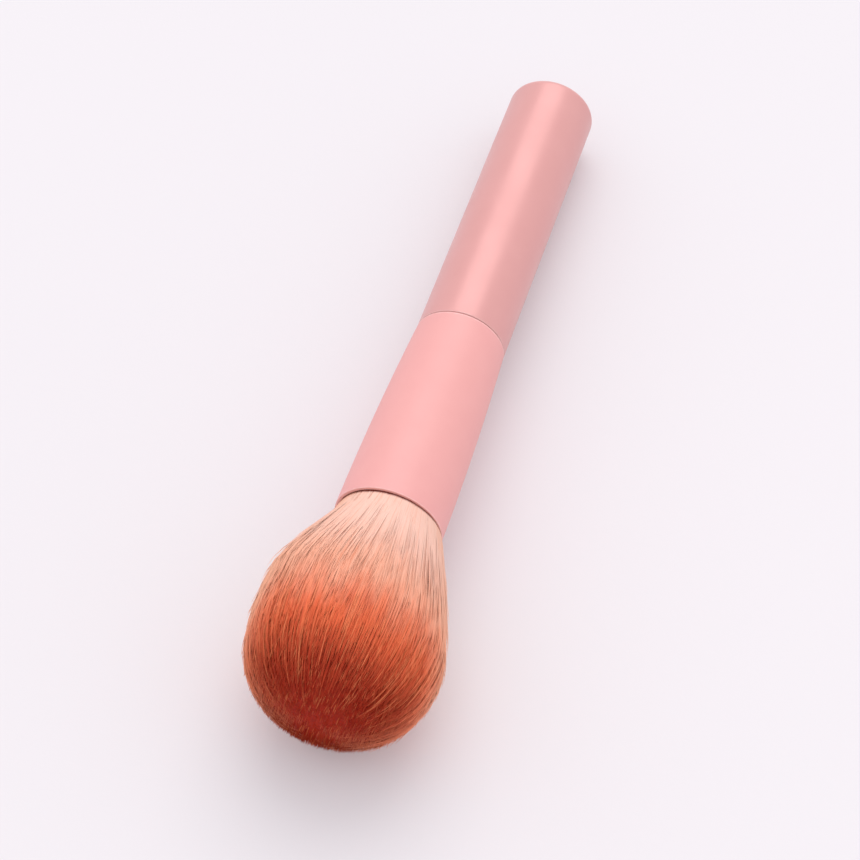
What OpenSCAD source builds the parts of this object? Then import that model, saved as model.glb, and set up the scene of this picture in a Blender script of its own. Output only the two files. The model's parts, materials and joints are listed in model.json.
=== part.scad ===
// Double-ended makeup brush: a large powder head in a flared sleeve, and a
// small detail head under a pull-off cap. All lengths are in millimetres.
// Each piece is drawn along its own axis, with the seam between the sleeve and
// the cap at height zero and the cap upwards. lay() then sets the brush down on
// its side, resting on the powder tuft and on the edge of the cap's end.

/* [Handle and cap] */
// Outside diameter of the cap, and of the sleeve where the two meet
handle_d = 20; // [16:0.1:26]
// Length of the cap from the seam to its closed end
cap_len = 76.3; // [70:0.1:110]
// Wall of the drawn cap
cap_wall = 0.8; // [0.6:0.05:1]
// Thickness of the cap's closed end
cap_end_wall = 1.2; // [0.8:0.1:2.5]
// Rounding around the cap's closed end
cap_end_r = 2; // [1.2:0.1:4]
// Line left open between the cap and the sleeve
seam_gap = 0.15; // [0.05:0.05:0.4]
// Bevel on the cap's open edge
cap_bevel = 0.25; // [0.1:0.05:0.4]

/* [Cap liner] */
// Length of the liner that grips the neck
liner_len = 12.5; // [8:0.5:14]
// Wall of the liner
liner_wall = 1.43; // [1.1:0.01:1.8]
// How far the liner sits back from the cap's open edge
liner_recess = 0.5; // [0.3:0.1:2]
// Running clearance between the liner and the neck, all round
liner_play = 0.15; // [0.05:0.05:0.3]
// Lead-in chamfer on both ends of the liner's bore
liner_lead = 0.5; // [0.2:0.1:0.8]

/* [Flared sleeve] */
// Length of the sleeve from the seam to its mouth
sleeve_len = 51.4; // [42:0.2:70]
// How much wider the sleeve's radius is at its mouth than at the seam
sleeve_flare = 1.6; // [1.2:0.05:3]
// Wall of the sleeve at its mouth
mouth_wall = 0.75; // [0.6:0.05:0.9]
// Wall of the sleeve at the seam, with the fit around its core
sleeve_wall = 1; // [0.8:0.05:1.3]
// Bevel on the sleeve's edge at the seam
sleeve_bevel = 0.35; // [0.1:0.05:0.6]

/* [Powder ferrule cup] */
// Length of the metal cup that holds the powder bristles
cup_len = 24; // [16:0.5:28]
// How far the cup's rim sits inside the sleeve's mouth
cup_recess = 1.6; // [1:0.1:3]
// Wall of the cup
cup_wall = 0.5; // [0.3:0.05:0.7]
// Thickness of the cup's floor
cup_floor = 0.8; // [0.5:0.1:1.5]

/* [Powder tuft] */
// Diameter of the powder tuft where it is widest
tuft_d = 40; // [34:0.1:44]
// Distance from the sleeve's mouth to the widest place
tuft_flare_len = 26.1; // [20:0.1:32]
// Length of the tuft's round end beyond its widest place
tuft_dome_len = 25; // [18:0.1:30]
// Depth of the glued roots below the mouth
tuft_root_depth = 3.2; // [2.6:0.1:5]
// Thickness of the slice of glue that the bristles are set in
tuft_slice = 1.2; // [1:0.1:2]
// Number of powder bristles
powder_strands = 290; // [240:1:360]
// Depth of the flat where the tuft rests
rest_flat = 0.5; // [0.3:0.1:0.8]

/* [Handle core and neck] */
// Thickness of the core's floor under the neck's socket
core_floor = 5.8; // [3:0.1:10]
// Wall of the neck tube
neck_wall = 0.45; // [0.3:0.05:0.6]
// How far the neck stands out of the sleeve
neck_reach = 14; // [12.5:0.5:18]
// Chamfer inside the core's socket and on the neck's pressed end
core_lead = 0.4; // [0.2:0.1:0.8]

/* [Detail ferrule] */
// Length of the ferrule's skirt inside the neck
skirt_len = 10; // [6:0.5:12]
// Height of the rolled bead that seats on the neck's edge
bead_h = 1.2; // [0.8:0.1:1.8]
// Length of the taper from the bead to the ferrule's mouth
taper_len = 18; // [14:0.5:22]
// How much narrower the ferrule's radius gets over its taper
taper_drop = 1.45; // [0.8:0.05:2.2]
// Wall of the ferrule
ferrule_wall = 0.4; // [0.3:0.05:0.5]
// Depth of the two crimp grooves
crimp_depth = 0.3; // [0.1:0.05:0.35]
// Width of each crimp groove
crimp_w = 1.4; // [0.8:0.1:1.8]
// Distance from the bead to the first crimp groove
crimp_start = 2.6; // [1.6:0.1:4]
// Distance between the crimp grooves
crimp_pitch = 2.4; // [2.2:0.1:3]

/* [Detail tuft] */
// How far the detail tuft swells past the edge of the ferrule's mouth
detail_swell = 0.4; // [0.2:0.05:1]
// Distance from the ferrule's mouth to the widest place
detail_flare_len = 8; // [6:0.1:11]
// Length of the detail tuft's round end
detail_dome_len = 13; // [9:0.1:16]
// Depth of the glued roots below the ferrule's mouth
detail_root_depth = 1.8; // [1.4:0.1:3]
// Thickness of the slice of glue that the detail bristles are set in
detail_slice = 1; // [0.8:0.1:1.3]
// Length of the glue plug under the detail bristles
detail_glue_len = 6; // [4:0.5:8]
// Number of detail bristles
detail_strands = 85; // [70:1:120]

/* [Hidden] */

$fn = 96;
// Gap left by a pressed or glued fit
fit_gap = 0.02;
// Rim of bare glue around the roots of a tuft
root_margin = 0.15;
// Depth that cuts run past a surface
overrun = 1;

// Radii and places along the axis, from the seam
handle_r = handle_d / 2;
mouth_r = handle_r + sleeve_flare;
mouth_bore_r = mouth_r - mouth_wall;
core_r = handle_r - sleeve_wall;
cap_bore_r = handle_r - cap_wall;
liner_r = cap_bore_r - fit_gap;
liner_bore_r = liner_r - liner_wall;
neck_r = liner_bore_r - liner_play;
cup_r = mouth_bore_r - fit_gap;
cup_bore_r = cup_r - cup_wall;
cup_rim = cup_recess - sleeve_len;
shoulder = cup_rim + cup_len;
neck_seat = -shoulder - core_floor;
powder_glue_r = cup_bore_r - fit_gap;
tuft_r = tuft_d / 2;
bead_top = neck_reach + bead_h;
detail_mouth = bead_top + taper_len;
tip_r = neck_r - neck_wall - taper_drop;
detail_glue_r = tip_r - ferrule_wall - fit_gap;
detail_r = tip_r + detail_swell;

// Shape of every tuft, as shares of its own sizes: how fast it leaves the
// mouth, how square its round end is, and where on the flare each bristle has
// its rings. Rings at one height for all keep the bristles from crossing.
flare_lean_share = 0.14;
dome_square = 2.5;
powder_ring_shares = [0.12, 0.86];
detail_ring_shares = [1];
// Half width of a bristle as a share of its room in the tuft, and how much of
// that width is left at its end
strand_share = 0.78;
strand_end_share = 0.4;
// Number of sides of a bristle, and the turn from one root to the next
corners = 3;
golden_angle = 137.508;

// Radius of a tuft at a distance out of its mouth
function tuft_spread(out, root_r, wide_r, flare_len) =
    let (t = max(0, min(1, out / flare_len)))
    root_r + (wide_r - root_r) * t * t * (3 - 2 * t)
        + flare_len * flare_lean_share * t * (1 - t) * (1 - t);

// How the brush lies: the floor touches the bristles' last ring, less their
// flat, and the round edge of the cap's end
tuft_root_r = powder_glue_r - root_margin;
rest_out = max(powder_ring_shares) * tuft_flare_len;
rest_r = tuft_spread(rest_out, tuft_root_r, tuft_r, tuft_flare_len) - rest_flat;
rest_back = sleeve_len + rest_out;
rest_run = cap_len - cap_end_r + rest_back;
rest_drop = rest_r - (handle_r - cap_end_r);
rest_tilt = atan2(rest_drop, rest_run) - asin(cap_end_r / norm([rest_run, rest_drop]));
seam_height = rest_r * cos(rest_tilt) - rest_back * sin(rest_tilt);
cap_end_x = (cap_len - cap_end_r) * cos(rest_tilt)
    + (handle_r - cap_end_r) * sin(rest_tilt) + cap_end_r;
tuft_end_x = -(sleeve_len + tuft_flare_len + tuft_dome_len) * cos(rest_tilt);
seam_x = -(cap_end_x + tuft_end_x) / 2;

function arc(centre, r, from, to, steps = 12) = [
    for (i = [0:steps])
        let (a = from + (to - from) * i / steps)
        [centre[0] + r * cos(a), centre[1] + r * sin(a)]
];

// Outside radius of the sleeve at a distance back from the seam: one long arc
// that runs level where it meets the mouth
flare_rise = mouth_r - handle_r;
flare_r = (sleeve_len * sleeve_len + flare_rise * flare_rise) / (2 * flare_rise);
function sleeve_r(back) = mouth_r - flare_r
    + sqrt(flare_r * flare_r - (sleeve_len - back) * (sleeve_len - back));

// Sets the brush down on its side with the middle of its footprint at the origin
module lay() {
    translate([seam_x, 0, seam_height])
        rotate([0, 90 + rest_tilt, 0])
            children();
}

// Turns a piece that was drawn from a mouth outwards to face the powder end
module at_powder_mouth() {
    translate([0, 0, -sleeve_len])
        rotate([180, 0, 0])
            children();
}

// Joins hundreds of bristles to their slice in one step: a size of zero keeps
// the size that the piece has
module as_one_mesh() {
    resize([0, 0, 0])
        children();
}

// A field of bristles set in a slice of glue. The roots stand in a sunflower
// pattern, and each bristle keeps its own share of the tuft's radius all the
// way, so that no two cross. They start half way down the slice, with a ring at
// its surface, taper from their last ring and end on the tuft's round end.
module bristles(count, glue_r, wide_r, flare_len, dome_len, root_depth, slice, ring_shares) {
    root_r = glue_r - root_margin;
    half = strand_share / sqrt(count);
    lows = concat(
        [-root_depth - slice / 2, -root_depth],
        [for (share = ring_shares) share * flare_len]
    );
    last = len(lows);
    per = (last + 1) * corners;
    points = [
        for (k = [0:count - 1])
            let (
                share = sqrt((k + 0.5) / count) * (1 - half),
                turn = k * golden_angle,
                end = flare_len + dome_len * pow(1 - pow(share, dome_square), 1 / dome_square)
            )
            for (ring = [0:last])
                let (
                    out = ring < last ? lows[ring] : end,
                    r = tuft_spread(out, root_r, wide_r, flare_len),
                    width = ring < last ? half : half * strand_end_share
                )
                for (c = [0:corners - 1])
                    let (a = turn + c * 360 / corners)
                    [
                        r * (share * cos(turn) + width * cos(a)),
                        r * (share * sin(turn) + width * sin(a)),
                        out
                    ]
    ];
    faces = [
        for (k = [0:count - 1])
            let (base = k * per)
            each [
                [for (c = [0:corners - 1]) base + c],
                for (ring = [0:last - 1], c = [0:corners - 1])
                    let (
                        low = base + ring * corners,
                        high = low + corners,
                        next = (c + 1) % corners
                    )
                    each [
                        [low + c, high + c, high + next],
                        [low + c, high + next, low + next]
                    ],
                [for (c = [corners - 1:-1:0]) base + last * corners + c]
            ]
    ];
    polyhedron(points = points, faces = faces);
    translate([0, 0, -root_depth - slice])
        cylinder(r = glue_r, h = slice, $fn = 32);
}

module powder_bristles() {
    color("salmon")
        as_one_mesh()
            difference() {
                lay()
                    at_powder_mouth()
                        bristles(
                            powder_strands, powder_glue_r, tuft_r, tuft_flare_len,
                            tuft_dome_len, tuft_root_depth, tuft_slice, powder_ring_shares
                        );
                translate([tuft_end_x + seam_x - overrun, -tuft_r, -tuft_d])
                    cube([tuft_flare_len + tuft_dome_len, tuft_d, tuft_d]);
            }
}

module powder_root_glue() {
    top = -sleeve_len + tuft_root_depth + tuft_slice;
    bottom = shoulder - cup_floor;
    color("tan")
        lay()
            translate([0, 0, top])
                cylinder(r = powder_glue_r, h = bottom - top);
}

// A deep drawn cup, open towards the bristles, with a rounded rim
module powder_ferrule_cup() {
    rim_r = cup_wall / 2;
    color("rosybrown")
        lay()
            rotate_extrude()
                polygon(concat(
                    [[0, shoulder], [cup_r, shoulder]],
                    arc([cup_r - rim_r, cup_rim + rim_r], rim_r, 0, -180, 8),
                    [[cup_bore_r, shoulder - cup_floor], [0, shoulder - cup_floor]]
                ));
}

// The outside is one flared arc, and the inside has two straight bores: a wide
// one for the cup, and one for the core, with a shoulder between them
module flared_sleeve() {
    steps = 24;
    rim_r = mouth_wall / 2;
    side_len = sleeve_len - rim_r - sleeve_bevel;
    color("lightpink")
        lay()
            rotate_extrude()
                polygon(concat(
                    [[core_r + fit_gap, 0], [sleeve_r(sleeve_bevel) - sleeve_bevel, 0]],
                    [
                        for (i = [0:steps - 1])
                            let (back = sleeve_bevel + side_len * i / steps)
                            [sleeve_r(back), -back]
                    ],
                    arc([mouth_r - rim_r, rim_r - sleeve_len], rim_r, 0, -180),
                    [[mouth_bore_r, shoulder], [core_r + fit_gap, shoulder]]
                ));
}

// A moulded plug that fills the sleeve's upper bore, with a blind socket for
// the neck and a chamfered lead at both ends
module handle_core() {
    socket_r = neck_r + fit_gap;
    color("mistyrose")
        lay()
            rotate_extrude()
                polygon([
                    [0, shoulder],
                    [core_r - core_lead, shoulder],
                    [core_r, shoulder + core_lead],
                    [core_r, 0],
                    [socket_r + core_lead, 0],
                    [socket_r, -core_lead],
                    [socket_r, -neck_seat],
                    [0, -neck_seat]
                ]);
}

// A straight tube: the cap's liner grips its outside, and the detail ferrule
// is pushed into its end
module neck_tube() {
    bore_r = neck_r - neck_wall;
    color("silver")
        lay()
            rotate_extrude()
                polygon([
                    [bore_r, -neck_seat],
                    [neck_r - neck_wall / 2, -neck_seat],
                    [neck_r, core_lead - neck_seat],
                    [neck_r, neck_reach],
                    [bore_r, neck_reach]
                ]);
}

// Outside radius of the detail ferrule at a height above its bead: a gentle
// taper, less the round bottoms of the crimp grooves
function taper_r(up) = neck_r - neck_wall - taper_drop * up / taper_len;
function crimp(up) =
    let (
        nearest = min([
            for (i = [0:1])
                abs(up - crimp_start - i * crimp_pitch)
        ])
    )
    nearest < crimp_w / 2 ? crimp_depth * (1 + cos(360 * nearest / crimp_w)) / 2 : 0;

// A thin wall that follows itself inside and out: skirt, rolled bead, two crimp
// grooves and a taper down to the mouth
module detail_ferrule() {
    skirt_r = neck_r - neck_wall - fit_gap;
    skirt_bore_r = skirt_r - ferrule_wall;
    bead_r = bead_h / 2;
    crimp_end = crimp_start + crimp_pitch + crimp_w / 2;
    steps = 28;
    ups = [for (i = [1:steps]) crimp_end * i / steps];
    rim_r = ferrule_wall / 2;
    color("gainsboro")
        lay()
            rotate_extrude()
                polygon(concat(
                    [
                        [skirt_bore_r, neck_reach - skirt_len],
                        [skirt_r, neck_reach - skirt_len],
                        [skirt_r, neck_reach]
                    ],
                    arc([neck_r - bead_r, neck_reach + bead_r], bead_r, -90, 90, 8),
                    [for (up = ups) [taper_r(up) - crimp(up), bead_top + up]],
                    arc([tip_r - rim_r, detail_mouth - rim_r], rim_r, 0, 180, 6),
                    [
                        for (i = [steps - 1:-1:0])
                            let (up = ups[i])
                            [taper_r(up) - crimp(up) - ferrule_wall, bead_top + up]
                    ],
                    [[skirt_bore_r, neck_reach]]
                ));
}

module detail_root_glue() {
    top = taper_len - detail_root_depth - detail_slice;
    bottom = top - detail_glue_len;
    color("tan")
        lay()
            translate([0, 0, bead_top])
                rotate_extrude()
                    polygon([
                        [0, bottom],
                        [taper_r(bottom) - ferrule_wall - fit_gap, bottom],
                        [detail_glue_r, top],
                        [0, top]
                    ]);
}

module detail_bristles() {
    color("coral")
        as_one_mesh()
            lay()
                translate([0, 0, detail_mouth])
                    bristles(
                        detail_strands, detail_glue_r, detail_r, detail_flare_len,
                        detail_dome_len, detail_root_depth, detail_slice, detail_ring_shares
                    );
}

// A drawn tube with a closed, softly rounded end
module cap_shell() {
    inner_end = cap_len - cap_end_wall;
    inner_end_r = max(cap_end_r - cap_wall, cap_wall / 2);
    color("#dca6a4")
        lay()
            rotate_extrude()
                polygon(concat(
                    [
                        [cap_bore_r, seam_gap],
                        [handle_r - cap_bevel, seam_gap],
                        [handle_r, seam_gap + cap_bevel]
                    ],
                    arc([handle_r - cap_end_r, cap_len - cap_end_r], cap_end_r, 0, 90),
                    [[0, cap_len], [0, inner_end]],
                    arc([cap_bore_r - inner_end_r, inner_end - inner_end_r], inner_end_r, 90, 0, 8)
                ));
}

// A plain bush pressed into the cap's open end
module cap_liner() {
    bottom = seam_gap + liner_recess;
    top = bottom + liner_len;
    color("snow")
        lay()
            rotate_extrude()
                polygon([
                    [liner_bore_r + liner_lead, bottom],
                    [liner_r, bottom],
                    [liner_r, top],
                    [liner_bore_r + liner_lead, top],
                    [liner_bore_r, top - liner_lead],
                    [liner_bore_r, bottom + liner_lead]
                ]);
}

powder_bristles();
powder_root_glue();
powder_ferrule_cup();
flared_sleeve();
handle_core();
neck_tube();
detail_ferrule();
detail_root_glue();
detail_bristles();
cap_shell();
cap_liner();
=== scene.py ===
"""A double-ended makeup brush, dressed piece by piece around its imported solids.

Sizes are in millimetres along the brush's own axis, with the seam between the
sleeve and the cap at height zero and the cap upwards, until a piece is laid down.
"""

import json
from math import atan2, cos, exp, pi, radians, sin, sqrt

import bmesh
import bpy
import numpy as np
from mathutils import Euler, Matrix, Vector


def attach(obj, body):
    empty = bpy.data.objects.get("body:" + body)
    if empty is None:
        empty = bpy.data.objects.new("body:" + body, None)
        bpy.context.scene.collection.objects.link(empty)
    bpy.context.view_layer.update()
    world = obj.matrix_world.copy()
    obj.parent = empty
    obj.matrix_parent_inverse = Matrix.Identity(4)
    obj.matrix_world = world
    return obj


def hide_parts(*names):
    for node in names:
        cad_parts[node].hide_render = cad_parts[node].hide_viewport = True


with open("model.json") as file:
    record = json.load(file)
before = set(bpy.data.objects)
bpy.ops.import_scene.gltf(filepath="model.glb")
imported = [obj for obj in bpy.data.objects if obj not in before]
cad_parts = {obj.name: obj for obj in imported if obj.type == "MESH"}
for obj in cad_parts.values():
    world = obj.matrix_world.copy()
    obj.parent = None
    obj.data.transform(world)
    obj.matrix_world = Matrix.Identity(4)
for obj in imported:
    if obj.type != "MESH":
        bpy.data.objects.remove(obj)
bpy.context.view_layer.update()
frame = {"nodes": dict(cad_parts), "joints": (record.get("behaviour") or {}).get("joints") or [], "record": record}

scene = bpy.context.scene
scene.view_settings.view_transform = "Standard"


# The view: a hand-held camera above the cap's side of the brush looks down at
# it, so that the powder tuft points at the lower left of the picture.
lens = bpy.data.cameras.new("view")
lens.sensor_width = 36
lens.lens = 104.651
camera = bpy.data.objects.new("view", lens)
camera.location = (-0.30406, -0.09086, 0.44796)
camera.rotation_euler = (radians(35.265), 0, radians(-72.870))
scene.collection.objects.link(camera)
scene.camera = camera


# The table: a pale, smooth painted board that the brush lies on. Its colour is
# the picture's background, and it gets a faint grain and a slow change of tone.
def paint(red, green, blue):
    """A colour of 0 to 255 a channel, as the linear numbers that a node takes."""
    shares = (red / 255, green / 255, blue / 255)
    return tuple(c / 12.92 if c < 0.04045 else ((c + 0.055) / 1.055) ** 2.4 for c in shares) + (1,)


def feed(tree, slot, value):
    """Gives a node's input a plain value, or the output of another node."""
    if isinstance(value, Flow):
        tree.links.new(value.socket, slot)
    elif isinstance(value, bpy.types.NodeSocket):
        tree.links.new(value, slot)
    else:
        slot.default_value = value


def add(tree, kind, feeds=None, **choices):
    """Adds a node with its choices, and feeds its inputs by identifier or by name."""
    step = tree.nodes.new(kind)
    for choice, value in choices.items():
        setattr(step, choice, value)
    for name, value in (feeds or {}).items():
        known = [s for s in step.inputs if s.identifier == name]
        known += [s for s in step.inputs if s.name == name and s.enabled]
        feed(tree, known[0], value)
    return step


class Flow:
    """An output in a node tree. Arithmetic on it lays the Math nodes down."""

    def __init__(self, tree, socket):
        self.tree = tree
        self.socket = socket

    def math(self, operation, *others, first=None):
        values = (self, *others) if first is None else (first, self)
        step = self.tree.nodes.new("ShaderNodeMath")
        step.operation = operation
        for slot, value in zip(step.inputs, values):
            feed(self.tree, slot, value)
        return Flow(self.tree, step.outputs[0])

    def __add__(self, other):
        return self.math("ADD", other)

    def __radd__(self, other):
        return self.math("ADD", other)

    def __sub__(self, other):
        return self.math("SUBTRACT", other)

    def __rsub__(self, other):
        return self.math("SUBTRACT", first=other)

    def __mul__(self, other):
        return self.math("MULTIPLY", other)

    def __truediv__(self, other):
        return self.math("DIVIDE", other)

    def __rtruediv__(self, other):
        return self.math("DIVIDE", first=other)

    def __pow__(self, other):
        return self.math("POWER", other)

    def above(self, low):
        return self.math("MAXIMUM", low)

    def below(self, high):
        return self.math("MINIMUM", high)


def step_up(value, low, high):
    """Rises softly from 0 to 1 while the value goes from low to high."""
    ramp = add(
        value.tree, "ShaderNodeMapRange",
        {"Value": value, "From Min": low, "From Max": high},
        interpolation_type="SMOOTHSTEP",
    )
    return Flow(value.tree, ramp.outputs["Result"])


def noise(tree, place, size, detail=2.0, stretch=(1, 1, 1)):
    """Soft noise from 0 to 1 whose lumps are about that size along each stretched axis."""
    drawn = add(tree, "ShaderNodeMapping", {"Vector": place, "Scale": stretch})
    lumps = add(
        tree, "ShaderNodeTexNoise",
        {"Vector": drawn.outputs[0], "Scale": 1 / size, "Detail": detail},
    )
    return Flow(tree, lumps.outputs[0])


def mixed(tree, share, one, other, blend="MIX"):
    """A colour between two, or one blended over the other."""
    step = add(
        tree, "ShaderNodeMix",
        {"Factor_Float": share, "A_Color": one, "B_Color": other},
        data_type="RGBA", blend_type=blend,
    )
    return Flow(tree, step.outputs[2])


def surface(name, **plain):
    """A new material with its plain values; returns it, its tree and its shader."""
    material = bpy.data.materials.new(name)
    material.use_nodes = True
    shader = material.node_tree.nodes["Principled BSDF"]
    for socket, value in plain.items():
        shader.inputs[socket.replace("_", " ")].default_value = value
    return material, material.node_tree, shader


def dent(tree, shader, height, depth):
    """Bump of that depth in mm where the height goes from 0 to 1."""
    bump = add(tree, "ShaderNodeBump", {"Height": height, "Distance": depth / 1000})
    feed(tree, shader.inputs["Normal"], bump.outputs[0])


table_half = 4
table_glow = 0.12
board = bpy.data.meshes.new("table_board")
corners = [(x * table_half, y * table_half, 0) for x, y in ((-1, -1), (1, -1), (1, 1), (-1, 1))]
board.from_pydata(corners, [], [(0, 1, 2, 3)])
table = bpy.data.objects.new("table_board", board)
scene.collection.objects.link(table)
material, tree, shader = surface("painted_board", Roughness=0.62, Specular_IOR_Level=0.25)
where = add(tree, "ShaderNodeTexCoord").outputs["Object"]
slow = noise(tree, where, 0.35, 1)
fine = noise(tree, where, 0.0006, 3)
tone = mixed(tree, slow, paint(229, 225, 229), paint(234, 230, 234))
rays = add(tree, "ShaderNodeLightPath").outputs
seen = Flow(tree, rays["Is Camera Ray"]).math("MAXIMUM", rays["Is Glossy Ray"])
seen = seen.math("MAXIMUM", rays["Is Transmission Ray"]) * table_glow
feed(tree, shader.inputs["Base Color"], mixed(tree, seen, tone, (0, 0, 0, 1)))
feed(tree, shader.inputs["Emission Color"], mixed(tree, seen, (0, 0, 0, 1), paint(241, 238, 243)))
shader.inputs["Emission Strength"].default_value = 1
dent(tree, shader, fine, 0.01)
board.materials.append(material)


# The light: an overcast sky through a wide roof window, bright overhead and dim
# towards the horizon, and one soft lamp high up beyond the cap's end.
sky = bpy.data.worlds.new("roof_window")
sky.use_nodes = True
scene.world = sky
tree = sky.node_tree
towards = add(tree, "ShaderNodeTexCoord").outputs["Generated"]
parts = add(tree, "ShaderNodeSeparateXYZ", {"Vector": towards}).outputs
lean_over = Flow(tree, parts["Z"]) * 0.87 + Flow(tree, parts["X"]) * 0.5
window = step_up(lean_over, -0.5, 0.35)
glow = mixed(tree, window, (0.46, 0.42, 0.43, 1), (1.00, 0.99, 1.01, 1))
feed(tree, tree.nodes["Background"].inputs["Color"], glow)
lamp = bpy.data.lights.new("soft_lamp", "SUN")
lamp.energy = 0.8
lamp.angle = radians(50)
lamp.color = (1, 0.98, 0.96)
lamp_towards = Vector((0.60, 0.08, 0.78))
hung = bpy.data.objects.new("soft_lamp", lamp)
hung.rotation_euler = lamp_towards.to_track_quat("Z", "Y").to_euler()
scene.collection.objects.link(hung)


# The flared sleeve: a moulded tube under salmon pink soft-touch lacquer. It
# widens in one long arc to a rounded mouth, and is glued over the core.
cap_length = 76.3
axis = Vector(frame["joints"][0]["axis"]).normalized()
cap_end = next(m for m in frame["record"]["mounts"] if m["name"] == "cap_end")
seam = Vector(cap_end["pos_m"]) - axis * cap_length / 1000
laid = Euler((0, pi / 2 + atan2(-axis.z, axis.x), 0))
lay = Matrix.Translation(seam) @ laid.to_matrix().to_4x4() @ Matrix.Scale(0.001, 4)


def along_brush(tree):
    """The brush's own coordinates in mm, for a material's patterns."""
    where = add(tree, "ShaderNodeTexCoord").outputs["Object"]
    return add(
        tree, "ShaderNodeMapping",
        {"Vector": where, "Location": seam, "Rotation": laid, "Scale": (0.001,) * 3},
        vector_type="TEXTURE",
    ).outputs[0]


def node_set(name, kind, takes, gives):
    """A node tree with named inputs and outputs; returns it, its inputs and its end."""
    tree = bpy.data.node_groups.new(name, kind)
    sockets = {float: "Float", int: "Int", tuple: "Color", Vector: "Vector"}
    for direction, named in (("INPUT", takes), ("OUTPUT", gives)):
        for label, value in named.items():
            if isinstance(value, str):
                tree.interface.new_socket(label, in_out=direction, socket_type="NodeSocket" + value)
                continue
            made = tree.interface.new_socket(
                label, in_out=direction, socket_type="NodeSocket" + sockets[type(value)]
            )
            made.default_value = value
    start = tree.nodes.new("NodeGroupInput")
    end = tree.nodes.new("NodeGroupOutput")
    inputs = {label: Flow(tree, start.outputs[label]) for label in takes}
    return tree, inputs, end


def placed(tree, group, output, **feeds):
    """Places a shared effect in a material with its own values; returns one output."""
    step = add(tree, "ShaderNodeGroup", node_tree=group)
    for label, value in feeds.items():
        feed(tree, step.inputs[label.replace("_", " ")], value)
    return Flow(tree, step.outputs[output])


def lathe_rule():
    """Turns an outline, drawn as a closed loop of points at y = 0, round the axis."""
    tree, size, end = node_set(
        "turned_piece", "GeometryNodeTree",
        {"Outline": "Geometry", "Points": 40, "Steps": 128, "Material": "Material"},
        {"Piece": "Geometry"},
    )
    tree.is_modifier = True
    sheet = add(
        tree, "GeometryNodeMeshGrid",
        {"Size X": 1.0, "Size Y": 1.0, "Vertices X": size["Steps"] + 1, "Vertices Y": size["Points"]},
    )
    index = Flow(tree, add(tree, "GeometryNodeInputIndex").outputs[0])
    row = (index / size["Points"]).math("FLOOR")
    outline_point = add(
        tree, "GeometryNodeSampleIndex",
        {
            "Geometry": size["Outline"],
            "Value": add(tree, "GeometryNodeInputPosition").outputs[0],
            "Index": index - row * size["Points"],
        },
        data_type="FLOAT_VECTOR",
    )
    turned_point = add(
        tree, "ShaderNodeVectorRotate",
        {"Vector": outline_point.outputs[0], "Angle": row * (2 * pi) / size["Steps"]},
        rotation_type="Z_AXIS",
    )
    moved = add(
        tree, "GeometryNodeSetPosition",
        {"Geometry": sheet.outputs[0], "Position": turned_point.outputs[0]},
    )
    closed = add(
        tree, "GeometryNodeMergeByDistance", {"Geometry": moved.outputs[0], "Distance": 0.0005}
    )
    plain = add(tree, "GeometryNodeRealizeInstances", {"Geometry": closed.outputs[0]})
    coated = add(
        tree, "GeometryNodeSetMaterial",
        {"Geometry": plain.outputs[0], "Material": size["Material"]},
    )
    feed(tree, end.inputs["Piece"], coated.outputs[0])
    return tree


def grown(name, rule, start, **sizes):
    """Runs a shape rule once and keeps its result as a plain mesh, still in mm."""
    blank = bpy.data.objects.new(name, start)
    scene.collection.objects.link(blank)
    modifier = blank.modifiers.new(rule.name, "NODES")
    modifier.node_group = rule
    for socket in rule.interface.items_tree:
        label = socket.name.replace(" ", "_")
        if socket.in_out == "INPUT" and label in sizes:
            modifier[socket.identifier] = sizes[label]
    depsgraph = bpy.context.evaluated_depsgraph_get()
    result = bpy.data.meshes.new_from_object(
        blank.evaluated_get(depsgraph), preserve_all_data_layers=True, depsgraph=depsgraph
    )
    blank.modifiers.remove(modifier)
    blank.data = result
    result.name = name
    return blank


lathe = lathe_rule()


def face_outwards(mesh):
    """Turns the faces of a closed mesh outwards."""
    shape = bmesh.new()
    shape.from_mesh(mesh)
    bmesh.ops.recalc_face_normals(shape, faces=shape.faces)
    shape.to_mesh(mesh)
    shape.free()


def turned(name, outline, material, steps=128):
    """A piece turned from its outline of (radius, height) points, and laid down."""
    drawn = bpy.data.meshes.new(name + "_outline")
    drawn.from_pydata([(radius, 0, height) for radius, height in outline + outline[:1]], [], [])
    piece = grown(name, lathe, drawn, Points=len(outline) + 1, Steps=steps, Material=material)
    face_outwards(piece.data)
    piece.data.shade_smooth()
    piece.data.set_sharp_from_angle(angle=radians(32))
    piece.data.transform(lay)
    return piece


def arc(centre, radius, start, stop, steps=8):
    """Points on part of a circle of an outline, from one angle in degrees to another."""
    turns = [radians(start + (stop - start) * i / steps) for i in range(steps + 1)]
    return [(centre[0] + radius * cos(a), centre[1] + radius * sin(a)) for a in turns]


def in_units(tree, place, unit):
    """A place counted in units of a length, so that a pattern keeps to that length."""
    return add(
        tree, "ShaderNodeVectorMath", {"Vector": place, "Scale": 1 / unit}, operation="SCALE"
    ).outputs[0]


def lacquer_skin():
    """The faint orange peel of sprayed lacquer, and the dull patches that hands leave."""
    tree, size, end = node_set(
        "lacquer_skin", "ShaderNodeTree",
        {"Place": Vector(), "Peel": 0.5, "Patch": 14.0},
        {"Height": 0.0, "Smudge": 0.0, "Mottle": 0.0},
    )
    close = in_units(tree, size["Place"], size["Peel"])
    peel = noise(tree, close, 1, 2)
    fine = noise(tree, close, 0.28, 2)
    broad = in_units(tree, size["Place"], size["Patch"])
    patch = noise(tree, broad, 1, 4)
    feed(tree, end.inputs["Height"], peel * 0.7 + fine * 0.3)
    feed(tree, end.inputs["Smudge"], step_up(patch, 0.38, 0.66))
    feed(tree, end.inputs["Mottle"], noise(tree, broad, 0.35, 3))
    return tree


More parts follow.
